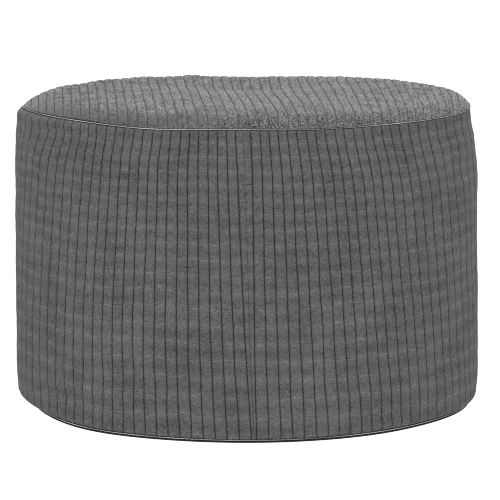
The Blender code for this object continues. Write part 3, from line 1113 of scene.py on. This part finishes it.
# Added to the wale numbers that the finish reads: they stay above 0, and grooves are at one half.
TOP_FIRST_WALE = 100.5
PUCKER_DEPTH = 0.0009
PUCKER_WIDTH = 0.13
PUCKER_START = 0.002
PUCKER_REACH = 0.004
PUCKER_GROWTH = 0.025
PUCKER_CENTRE = (0.060, -0.23)
PUCKER_SPREAD = (0.060, 0.09)

top_wander = waves(seed=23, count=6, wales=50, along_reach=0.12)


def top_columns():
    """Wale numbers of the columns of points, from the left rim to the right rim."""
    between = np.arange(-TOP_WALES, TOP_WALES)[:, None] + np.array(TOP_COLUMNS)
    left = -TOP_WALES - LAST_COLUMNS[:0:-1] * LEFT_COLUMN_REACH
    return np.concatenate((left, between.ravel(), TOP_WALES + LAST_COLUMNS * RIGHT_COLUMN_REACH))


def top_rows():
    """Places on each wale, from -1 at its front end to 1 at its back end."""
    shares = np.concatenate((TOP_RIM_ROWS, TOP_MIDDLE_ROWS))
    return np.concatenate((shares - 1.0, 1.0 - shares[-2::-1]))


def top_points():
    """The grid of points, each one's place in the cloth, and how puckered it is there."""
    wale = top_columns()[None, :]
    share = top_rows()[:, None]
    drift = TOP_WANDER * top_wander(wale, share * 0.24) * (1.0 - share ** 2)
    across = np.clip(top_across(wale + drift), -TOP_REACH, TOP_REACH)
    x, y = top_place(across, share)
    edge = SEAM_RADIUS - np.hypot(x, y)
    groove = np.abs(2.0 * (wale % 1.0) - 1.0) ** TOP_POWER * smooth(edge / TOP_FADE)
    middle = np.exp(-0.5 * ((wale % 1.0 - 0.5) / PUCKER_WIDTH) ** 2)
    reach = PUCKER_REACH + PUCKER_GROWTH * bell(x, y, PUCKER_CENTRE, PUCKER_SPREAD)
    pucker = smooth(edge / PUCKER_START) * (1.0 - smooth(edge / reach))
    free = smooth(edge / TOP_FULL_SWELL_FROM_RIM)
    swell = read_grid(dome_swells, *dome_cell(x, y), False) * free
    z = dome_height(x, y) - TOP_DEPTH * groove - PUCKER_DEPTH * middle * pucker + swell
    cloth = np.stack(np.broadcast_arrays(wale + TOP_FIRST_WALE, y, edge), axis=-1)
    return np.stack((x, y, z), axis=-1), cloth, pucker


# %% How the pile of the top lies, and where light and shade are painted on it
# Patches of painted light and shade on the top; a number above 0 makes a patch lighter.
PAINTED_LIGHT_AND_SHADE_PATCHES = (
    # centre, spread, how much lighter
    ((-0.070, 0.155), (0.060, 0.030), -0.12),
    ((-0.180, 0.000), (0.055, 0.140), -0.13),
    ((-0.165, 0.120), (0.040, 0.060), -0.08),
    ((-0.165, -0.155), (0.040, 0.030), -0.10),
    ((-0.040, 0.110), (0.120, 0.050), -0.08),
    ((0.150, 0.000), (0.060, 0.060), -0.12),
    ((0.040, 0.090), (0.030, 0.050), -0.08),
    ((-0.005, -0.198), (0.055, 0.022), -0.22),
    ((-0.080, -0.232), (0.070, 0.008), 0.12),
    ((0.160, -0.165), (0.050, 0.030), 0.08),
    ((0.000, -0.070), (0.040, 0.040), 0.04),
    ((0.090, -0.235), (0.055, 0.014), 0.14),
    ((0.175, -0.100), (0.035, 0.050), 0.10),
)
# A painted seam shadow: a dark line just above the top seam, at these angles.
SEAM_SHADOW_LINE_ANGLES = ((-52.0, 1.4, 10.0),)
SEAM_SHADOW_LINE_REACH = 0.002
CALM = 0.6
CALM_REACH = 0.035
LIT_EDGE = 0.45
# Where calm pile ends and lit edges begin, each from left to right, and how wide the change is.
CALM_END = -0.07
LIT_START = 0.10
CHANGE_WIDTH = 0.08


def pile_values(points, edge, pucker):
    """What the finish of the top reads at each point, by name."""
    x = points[..., 0]
    y = points[..., 1]
    near_rim = 1.0 - smooth(edge / CALM_REACH)
    on_left = 1.0 - smooth((x - CALM_END) / CHANGE_WIDTH)
    painted_light_and_shade = sum(rise * bell(x, y, centre, spread) for centre, spread, rise in PAINTED_LIGHT_AND_SHADE_PATCHES)
    painted_seam_shadow_line = bumps(np.arctan2(x, -y), SEAM_SHADOW_LINE_ANGLES) * (1.0 - smooth(edge / SEAM_SHADOW_LINE_REACH))
    return {
        "pucker": pucker,
        "calm": CALM * near_rim * on_left,
        "lit_edge": LIT_EDGE * smooth((x - LIT_START) / CHANGE_WIDTH),
        "painted_light_and_shade": painted_light_and_shade - painted_seam_shadow_line,
    }


# %% Build the top panel
def build_top_panel():
    grid, cloth, pucker = top_points()
    rows, columns = pucker.shape
    faces = quads_between(rows, columns, False)
    index = np.arange(rows * columns).reshape(rows, columns)
    rim = np.concatenate((index[0], index[1:, -1], index[-1, -2::-1], index[-2:0:-1, 0]))
    surface = grid.reshape(-1, 3)
    outward = np.arctan2(surface[rim, 0], -surface[rim, 1])
    inner = around(INNER_RADIUS, outward, INNER_HEIGHT + GAP)
    first = len(surface)
    centre = first + len(rim)
    for place in range(len(rim)):
        following = (place + 1) % len(rim)
        faces.append((first + place, first + following, rim[following], rim[place]))
        faces.append((centre, first + following, first + place))
    every = np.concatenate((surface, inner, [(0.0, 0.0, INNER_HEIGHT + GAP)]))
    panel = add_piece("top_panel_corduroy", every, faces, top_corduroy)
    places = cloth.reshape(-1, 3)
    places = np.concatenate((places, places[rim], np.zeros((1, 3))))
    add_values(panel, "cloth", places, "FLOAT_VECTOR", "vector")
    under = np.zeros(len(rim) + 1)
    for name, values in pile_values(grid, cloth[..., 2], pucker).items():
        add_values(panel, name, np.concatenate((values.ravel(), under)))
    return panel


top_panel = build_top_panel()
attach(top_panel, "root")
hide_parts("top_panel")

# %% [markdown]
# ## Thread in the two round seams
# A pale cord of overlocked thread shows in each round seam. It could be a smooth tube, but a
# thread is twisted, so each ring of points is a two-lobed section that turns as it goes round.

# %% Twisted seam cords
TOP_CORD_OUTSET = 0.0003
FOOT_CORD_OUTSET = 0.0006
FOOT_CORD_HEIGHT = 0.0029
CORD_RADIUS = 0.00050
CORD_RINGS = 2400
CORD_TWISTS = 300
CORD_SIDES = 8
CORD_LOBE = 0.20
THREAD_DARK = (0.17, 0.150, 0.145, 1.0)
THREAD_PALE = (0.52, 0.475, 0.46, 1.0)
THREAD_SHOWN = 0.40
THREAD_SHOWN_MORE = (
    # degrees from the front, how much paler, spread in degrees
    (-54.0, 0.35, 8.0), (-25.0, 0.3, 8.0), (36.0, 0.3, 6.0), (21.0, -0.5, 8.0),
)


def seam_thread_finish():
    finish = Finish("seam_thread")
    place = finish.place()
    fibres = finish.noise(place, 1400.0)
    worn = finish.uneven(place, 30.0, detail=1.0)
    shade = (fibres - 0.5) * 0.8 + worn * 1.8 + finish.carried("shown")
    colour = finish.mix(shade, THREAD_DARK, THREAD_PALE)
    finish.set(Base_Color=colour, Roughness=0.75 + fibres * 0.2)
    finish.set(Normal=finish.bump(fibres, 0.0003, 0.6), Specular_IOR_Level=0.2)
    return finish


seam_thread = seam_thread_finish()


def build_cord(name, node, angle, radius, height):
    around_cord = full_turn(CORD_SIDES)[None, :]
    turned = around_cord - 0.5 * CORD_TWISTS * angle
    lobes = 1.0 - CORD_LOBE + CORD_LOBE * np.cos(2.0 * turned)
    radius = radius + CORD_RADIUS * lobes * np.cos(around_cord)
    height = height + CORD_RADIUS * lobes * np.sin(around_cord)
    points = around(radius, angle, height)
    index = np.arange(CORD_RINGS * CORD_SIDES).reshape(CORD_RINGS, CORD_SIDES)
    after = np.roll(index, -1, axis=0)
    quads = (index, after, np.roll(after, -1, axis=1), np.roll(index, -1, axis=1))
    faces = np.stack(quads, axis=-1).reshape(-1, 4).tolist()
    cord = add_piece(name, points, faces, seam_thread)
    shown = THREAD_SHOWN + bumps(angle, THREAD_SHOWN_MORE)
    add_values(cord, "shown", np.repeat(shown, CORD_SIDES))
    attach(cord, "root")
    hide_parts(node)


turn = full_turn(CORD_RINGS)[:, None]
top_radius = SEAM_RADIUS + TOP_CORD_OUTSET
bottom_radius = foot_radius(turn) + FOOT_CORD_OUTSET
build_cord("top_seam_cord", "top_seam", turn, top_radius, seam_height(turn))
build_cord("bottom_seam_cord", "bottom_seam", turn, bottom_radius, FOOT_CORD_HEIGHT)

# %% [markdown]
# ## The base panel
# A plain dark woven round closes the foot. It is one flat layer of cloth, turned in at the edge,
# so it is a ring of points for each step of the hem, which is a little thicker than the rest.

# %% Base cloth and its hem
BASE_COLUMNS = 240
THREADS = 700.0
BASE_DARK = (0.017, 0.013, 0.013, 1.0)
BASE_LIGHT = (0.040, 0.032, 0.032, 1.0)
HEM_STEP = 0.0004
BASE_PROFILE = (
    # inset from the rim, height
    (0.0006, 0.0),
    (0.0, 0.0004),
    (0.0, 0.0012),
    (0.0006, BASE_THICKNESS),
    (0.007, BASE_THICKNESS),
    (0.009, BASE_THICKNESS - HEM_STEP),
)


def base_cloth_finish():
    finish = Finish("base_cloth")
    place = finish.place()
    x, y, _ = finish.split(place)
    weave = (x * THREADS).wave() * (y * THREADS).wave()
    fuzz = finish.noise(place, 500.0)
    colour = finish.mix(fuzz, BASE_DARK, BASE_LIGHT)
    finish.set(Base_Color=colour, Roughness=0.85 + fuzz * 0.1)
    finish.set(Normal=finish.bump(weave * 0.5 + fuzz, 0.0002, 0.6), Specular_IOR_Level=0.2)
    return finish


def build_base_panel():
    angle = full_turn(BASE_COLUMNS)
    rim = foot_radius(angle)
    rings = [around(rim - inset, angle, level) for inset, level in BASE_PROFILE]
    faces = closed_faces(len(rings), BASE_COLUMNS)
    centres = np.array([(0.0, 0.0, 0.0), (0.0, 0.0, BASE_THICKNESS - HEM_STEP)])
    points = np.concatenate(rings + [centres])
    panel = add_piece("base_panel_cloth", points, faces, base_cloth_finish())
    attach(panel, "root")
    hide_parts("base_panel")
    area = 0.5 * float(np.sum(rim ** 2)) * math.tau / BASE_COLUMNS


build_base_panel()
